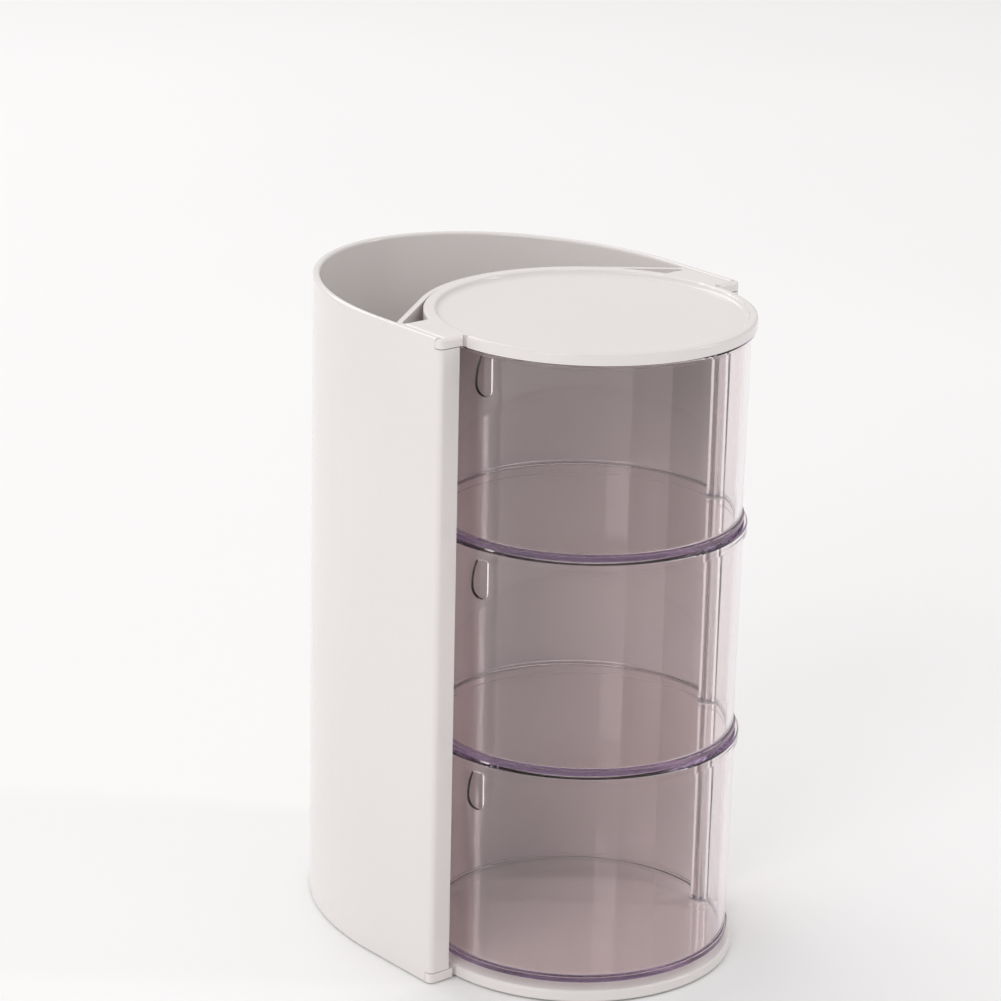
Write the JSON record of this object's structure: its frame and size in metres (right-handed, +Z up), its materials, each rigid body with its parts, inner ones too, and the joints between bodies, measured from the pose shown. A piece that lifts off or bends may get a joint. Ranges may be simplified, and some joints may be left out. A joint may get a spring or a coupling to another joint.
{
  "type": "desk make-up organiser with swing-out drawers",
  "caption": "U-shaped white desk organiser with an open brush cup at the back and stacked clear round drawers that swing out on one hinge shaft.",
  "frame": {"origin": "centre of the footprint, on the surface the object stands on", "axes": "+Z up, the drawers face -Y, +X towards the hinge side"},
  "size_m": [0.115, 0.1524, 0.2],
  "materials": {
    "white_plastic": "gloss moulded, warm white",
    "clear_plastic": "clear polished, faint violet at thick edges",
    "steel": "bright drawn",
    "washer": "natural nylon",
    "foot_pad": "soft translucent"
  },
  "bodies": {
    "housing": {"housing_shell": "white_plastic", "bay_partition": "white_plastic", "top_cover": "white_plastic", "base_plate": "white_plastic", "hinge_shaft": "steel", "shaft_screw": "steel", "base_screws": "steel", "hinge_washer_1": "washer", "hinge_washer_2": "washer", "hinge_washer_3": "washer", "foot_pad_1": "foot_pad", "foot_pad_2": "foot_pad", "foot_pad_3": "foot_pad", "foot_pad_4": "foot_pad"},
    "top_drawer": {"drawer_top": "clear_plastic"},
    "middle_drawer": {"drawer_middle": "clear_plastic"},
    "bottom_drawer": {"drawer_bottom": "clear_plastic"}
  },
  "joints": [
    {"name": "top_drawer_swing", "type": "hinge", "parent": "housing", "child": "top_drawer", "pos_m": [0.04059, -0.04138, 0], "axis": [0, 0, 1], "range_deg": [0, 120]},
    {"name": "middle_drawer_swing", "type": "hinge", "parent": "housing", "child": "middle_drawer", "pos_m": [0.04059, -0.04138, 0], "axis": [0, 0, 1], "range_deg": [0, 120]},
    {"name": "bottom_drawer_swing", "type": "hinge", "parent": "housing", "child": "bottom_drawer", "pos_m": [0.04059, -0.04138, 0], "axis": [0, 0, 1], "range_deg": [0, 120]}
  ]
}
